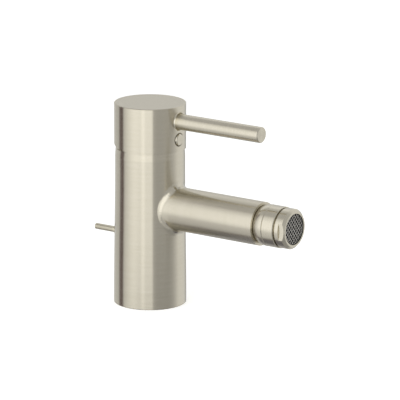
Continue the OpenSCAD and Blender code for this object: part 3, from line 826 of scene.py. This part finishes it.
@dataclass
class Handle:
    """Cap, lever, plug and clamping screw.

    Attributes:
        foot_to: Distance from the column's axis up to which the flared foot of the lever extends.
        foot_smooth: Share of the brushed roughness that is left on it.
        lever_roughness: Roughness of the lever.
        plug_roughness: Roughness of the plug.
    """

    foot_to: float = 24.5 * MM
    foot_smooth: float = 0.4
    lever_roughness: Pair = (0.18, 0.22)
    plug_roughness: Pair = (0.15, 0.18)

    def lever_finish(self) -> Material:
        """Finish of the lever.

        Returns:
            The material.
        """
        # Nickel plate brushed round the bar with a finer belt: one narrow bright line along it. Its flared
        # foot is rubbed by hand and gleams.
        foot = HandWork(0.0, self.foot_to, self.foot_smooth)
        return BrushedNickel("brushed_nickel_lever", Brushing(Axis.FRONT, middle("lever")),
                             roughness=self.lever_roughness, hand=foot).material()

    def plug_finish(self) -> Material:
        """Finish of the index plug.

        Returns:
            The material.
        """
        # Nickel plate on a domed face that was turned with a fine tool: a small bright crescent.
        return BrushedNickel("turned_nickel_plug", Brushing(Axis.FRONT, middle("index_plug")),
                             roughness=self.plug_roughness).material()

    def build(self, finishes: Finishes) -> None:
        """Dress the handle.

        Args:
            finishes: The shared finishes.
        """
        dress(finishes.nickel, "handle_cap")
        dress(self.lever_finish(), "lever")
        dress(self.plug_finish(), "index_plug")
        dress(finishes.steel, "grub_screw")


@dataclass
class Cartridge:
    """Ceramic cartridge with its nut and its limit ring.

    Attributes:
        lapped: Roughness of the lapped discs.
        moulded: Roughness of the limit ring.
    """

    lapped: Pair = (0.15, 0.25)
    moulded: Pair = (0.35, 0.5)

    def build(self, finishes: Finishes) -> None:
        """Dress the cartridge.

        Args:
            finishes: The shared finishes.
        """
        # Alumina fired and lapped flat enough to seal: a warm white with a glassy sheen.
        ceramic = Grained("lapped_ceramic", "#F0EDE4", "#E4E0D4", roughness=self.lapped, ior=1.76).material()
        # Red acetal from a satin mould: a strong colour under a soft shine.
        red = Grained("moulded_red_acetal", "#BE3B30", "#A93228", roughness=self.moulded, ior=1.48).material()
        dress(finishes.nylon, "cartridge_base", "cartridge_housing", "stem_holder", "disc_carrier")
        dress(ceramic, "fixed_ceramic_disc", "moving_ceramic_disc")
        dress(finishes.brass, "stem", "cartridge_nut")
        dress(finishes.steel, "tilt_pin")
        dress(finishes.rubber, "port_seals")
        dress(red, "temperature_limit_ring")


@dataclass
class Outlet:
    """Ball joint, shell, nut and woven screen of the swivelling outlet.

    Attributes:
        pitch: Distance between neighbouring wires, about twice the real one, so that they show.
        wire_wide: Width of a rolled wire.
        wire_flat: Thickness of a rolled wire.
        wire_sides: Sides of a wire's section.
        points: Points along each wire.
        slant: Angle of the wires from the level, in degrees.
        net_r: Radius to which the wires run.
        rim_in: Inner radius of the rim that holds them.
        edge_in: Inner radius of the near-black ring that lines the mouth of the nut, dark plastic that also
            paints the shade on the mouth's wall.
        edge_out: Outer radius of that edge.
        edge_sunk: How far that edge lies behind the face of the nut.
        ring_round: Radius on the corners of rim and edge.
        ring_steps: Corners round the rim and the edge.
        round_steps: Steps on each rounded corner.
        shell_roughness: Roughness of the turned shell.
        wire_roughness: Roughness of the wires.
        insert_roughness: Roughness of the insert.
    """

    pitch: float = 2.12 * MM
    wire_wide: float = 0.46 * MM
    wire_flat: float = 0.26 * MM
    wire_sides: int = 6
    points: int = 61
    slant: float = 40.0
    net_r: float = 10.2 * MM
    rim_in: float = 10.0 * MM
    edge_in: float = 9.9 * MM
    edge_out: float = 10.18 * MM
    edge_sunk: float = 0.2 * MM
    ring_round: float = 0.12 * MM
    ring_steps: int = 96
    round_steps: int = 3
    shell_roughness: Pair = (0.15, 0.18)
    wire_roughness: Pair = (0.5, 0.65)
    insert_roughness: Pair = (0.6, 0.75)

    def wire_lines(self, shape: NodeShape) -> Socket:
        """Lay one family of waved wires across a circle, in the plane z = 0.

        Args:
            shape: The shape that gets the nodes.

        Returns:
            The middle lines of the wires.
        """
        tree, sizes = shape.tree, shape.inputs
        first = add_node(tree, "ShaderNodeCombineXYZ", {"Y": sizes["First wire"]}).outputs[0]
        step = add_node(tree, "ShaderNodeCombineXYZ", {"Y": sizes["Pitch"]}).outputs[0]
        rows = add_node(tree, "GeometryNodeMeshLine", {
            "Count": sizes["Wires"], "Start Location": first, "Offset": step}).outputs[0]
        line = add_node(tree, "GeometryNodeCurvePrimitiveLine", {
            "Start": (-1, 0, 0), "End": (1, 0, 0)}).outputs[0]
        line = add_node(tree, "GeometryNodeResampleCurve", {
            "Curve": line, "Count": sizes["Points"]}).outputs[0]
        laid = add_node(tree, "GeometryNodeInstanceOnPoints", {"Points": rows, "Instance": line}).outputs[0]
        laid = add_node(tree, "GeometryNodeRealizeInstances", (laid,)).outputs[0]
        spot = add_node(tree, "GeometryNodeInputPosition").outputs[0]
        x, y, _ = add_node(tree, "ShaderNodeSeparateXYZ", (spot,)).outputs
        square = add_node(tree, "ShaderNodeMath", (sizes["Net radius"], 2.0), operation="POWER").outputs[0]
        # A line runs from -1 to 1, and half the chord at its level stretches it across the circle.
        along = y
        for operation, *others in (
                ("POWER", 2.0), ("MULTIPLY_ADD", -1.0, square), ("MAXIMUM", 0.0), ("SQRT",), ("MULTIPLY", x)):
            along = add_node(tree, "ShaderNodeMath", (along, *others), operation=operation).outputs[0]
        # A wave takes two pitches, and the next wire's wave is the other way up.
        wave = along
        for operation, *others in (
                ("ADD", y), ("MULTIPLY", math.pi), ("DIVIDE", sizes["Pitch"]), ("COSINE",),
                ("MULTIPLY", sizes["Wave height"])):
            wave = add_node(tree, "ShaderNodeMath", (wave, *others), operation=operation).outputs[0]
        place = add_node(tree, "ShaderNodeCombineXYZ", (along, y, wave)).outputs[0]
        laid = add_node(tree, "GeometryNodeSetPosition", {"Geometry": laid, "Position": place}).outputs[0]
        return add_node(tree, "GeometryNodeSetCurveNormal", {"Curve": laid}, mode="Z_UP").outputs[0]

    def net(self, shape: NodeShape) -> Socket:
        """Weave two families of wires across a circle, in the plane z = 0.

        Args:
            shape: The shape that gets the nodes.

        Returns:
            The net.
        """
        tree, sizes = shape.tree, shape.inputs
        # The section starts as a circle one unit across, so its scale is the width and thickness of the wire.
        section = add_node(tree, "GeometryNodeCurvePrimitiveCircle", {
            "Resolution": self.wire_sides, "Radius": 0.5}).outputs[0]
        across = add_node(tree, "ShaderNodeCombineXYZ", (sizes["Wire wide"], sizes["Wire flat"], 1.0))
        section = add_node(tree, "GeometryNodeTransform", {
            "Geometry": section, "Scale": across.outputs[0]}).outputs[0]
        family = add_node(tree, "GeometryNodeCurveToMesh", {
            "Curve": self.wire_lines(shape), "Profile Curve": section, "Fill Caps": True}).outputs[0]
        # Half a turn about the diagonal lays the second family across the first, over where that one
        # goes under.
        crossed = add_node(tree, "GeometryNodeTransform", {
            "Geometry": family, "Rotation": (math.pi, 0, math.pi / 2)}).outputs[0]
        return add_node(tree, "GeometryNodeTransform", {
            "Geometry": shape.join(family, crossed), "Rotation": (0, 0, math.radians(self.slant))}).outputs[0]

    def ring_sizes(self, inner: float, outer: float, length: float) -> dict[str, float]:
        """Named inputs of a ring.

        Args:
            inner: Its inner radius.
            outer: Its outer radius.
            length: Its length along the axis.

        Returns:
            The inputs, with their values.
        """
        return {"Ring radius": (inner + outer) / 2, "Ring width": outer - inner, "Ring length": length,
                "Corner radius": self.ring_round}

    def ring(self, shape: NodeShape) -> Socket:
        """Turn a ring with rounded edges about the z axis.

        Args:
            shape: The shape that gets the nodes, with the inputs of a ring.

        Returns:
            The ring.
        """
        tree, sizes = shape.tree, shape.inputs
        ring = add_node(tree, "GeometryNodeCurvePrimitiveCircle", {
            "Resolution": self.ring_steps, "Radius": sizes["Ring radius"]}).outputs[0]
        section = add_node(tree, "GeometryNodeCurvePrimitiveQuadrilateral", {
            "Width": sizes["Ring width"], "Height": sizes["Ring length"]}).outputs[0]
        section = add_node(tree, "GeometryNodeFilletCurve", {
            "Curve": section, "Radius": sizes["Corner radius"], "Count": self.round_steps,
        }, mode="POLY").outputs[0]
        return add_node(tree, "GeometryNodeCurveToMesh", {"Curve": ring, "Profile Curve": section}).outputs[0]

    def add_screen(self) -> bpy.types.Object:
        """Weave the screen in its rim, aslant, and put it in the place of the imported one.

        Returns:
            The screen.
        """
        # Steel wire that was drawn, woven, rolled flat and etched matt: even pale threads on a dark ground.
        wire = Grained(
            "steel_wire", "#E8E6E0", "#D6D3CD", roughness=self.wire_roughness, metallic=True).material()
        low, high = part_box("aerator_screen")
        beside = int(self.net_r / self.pitch)
        shape = NodeShape("woven_screen", {
            "Pitch": self.pitch,
            "Wires": 2 * beside + 1,
            "First wire": -beside * self.pitch,
            "Points": self.points,
            "Net radius": self.net_r,
            "Wire wide": self.wire_wide,
            "Wire flat": self.wire_flat,
            "Wave height": self.wire_flat / 2,
            **self.ring_sizes(self.rim_in, (high.x - low.x) / 2, high.y - low.y),
        })
        whole = shape.join(self.net(shape), self.ring(shape))
        screen = shape.bake(shape.stand(whole, middle("aerator_screen")), wire)
        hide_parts("aerator_screen")
        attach(screen, "outlet")
        log.info("woven_screen: %d faces", len(screen.data.polygons))
        return screen

    def add_mouth_shade_ring(self, acetal: Material) -> bpy.types.Object:
        """Turn a near-black ring that lines the mouth of the nut in front of the screen: dark plastic that also
        paints the shade on the mouth's inner wall.

        Args:
            acetal: Near-black material of the insert, which also paints shade.

        Returns:
            The edge.
        """
        face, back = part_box("outlet_nut")[0].y + self.edge_sunk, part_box("aerator_screen")[0].y
        x, _, z = middle("outlet_nut")
        shape = NodeShape("insert_edge", self.ring_sizes(self.edge_in, self.edge_out, back - face))
        # The ring is near black: the dark plastic's colour, and painted shade on the inner wall of the mouth.
        edge = shape.bake(shape.stand(self.ring(shape), (x, (face + back) / 2, z)), acetal)
        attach(edge, "outlet")
        log.info("insert_edge: %d faces", len(edge.data.polygons))
        return edge

    def build(self, finishes: Finishes) -> None:
        """Dress the outlet and weave its screen.

        Args:
            finishes: The shared finishes.
        """
        # Nickel plate on shells turned with a fine tool: sharper, brighter bands than on the brushed spout.
        shell = BrushedNickel("turned_nickel_outlet", Brushing(Axis.FRONT, middle("outlet_nut")),
                              roughness=self.shell_roughness).material()
        # Dark acetal from a matt mould, pushed near black so that it paints the shade between the wires and in
        # the mouth.
        acetal = Grained(
            "dark_acetal_painted_shade", "#0E0E10", "#09090A", roughness=self.insert_roughness, ior=1.48).material()
        dress(shell, "swivel_collar", "swivel_sleeve", "outlet_nut")
        dress(finishes.brass, "swivel_ball")
        dress(finishes.rubber, "ball_seal", "outlet_washer")
        dress(finishes.nylon, "front_liner", "rear_liner")
        dress(acetal, "aerator_insert")
        self.add_screen()
        self.add_mouth_shade_ring(acetal)


@dataclass
class PullRod:
    """Rod of the pop-up waste.

    Attributes:
        marks: Size of the marks that drawing leaves, which are long along the rod.
        roughness: Roughness of the rod.
    """

    marks: Triple = (0.3 * MM, 6 * MM, 0.3 * MM)
    roughness: Pair = (0.2, 0.3)

    def build(self, _: Finishes) -> None:
        """Dress the rod in a finish of its own."""
        # Brass rod drawn through a die, bent and nickel plated: fine marks along it and a soft line of light.
        drawn = Grained("drawn_nickel_rod", "#D2CCB9", "#BDB7A5",
                        roughness=self.roughness, grain=self.marks, metallic=True).material()
        dress(drawn, "pull_rod")


def main() -> None:
    """Build the studio and dress every part."""
    logging.basicConfig(level=logging.INFO, format="%(name)s: %(message)s")
    Studio().build()
    finishes = Finishes()
    for assembly in (Column(), Handle(), Cartridge(), Outlet(), PullRod()):
        assembly.build(finishes)


if __name__ == "__main__":
    main()
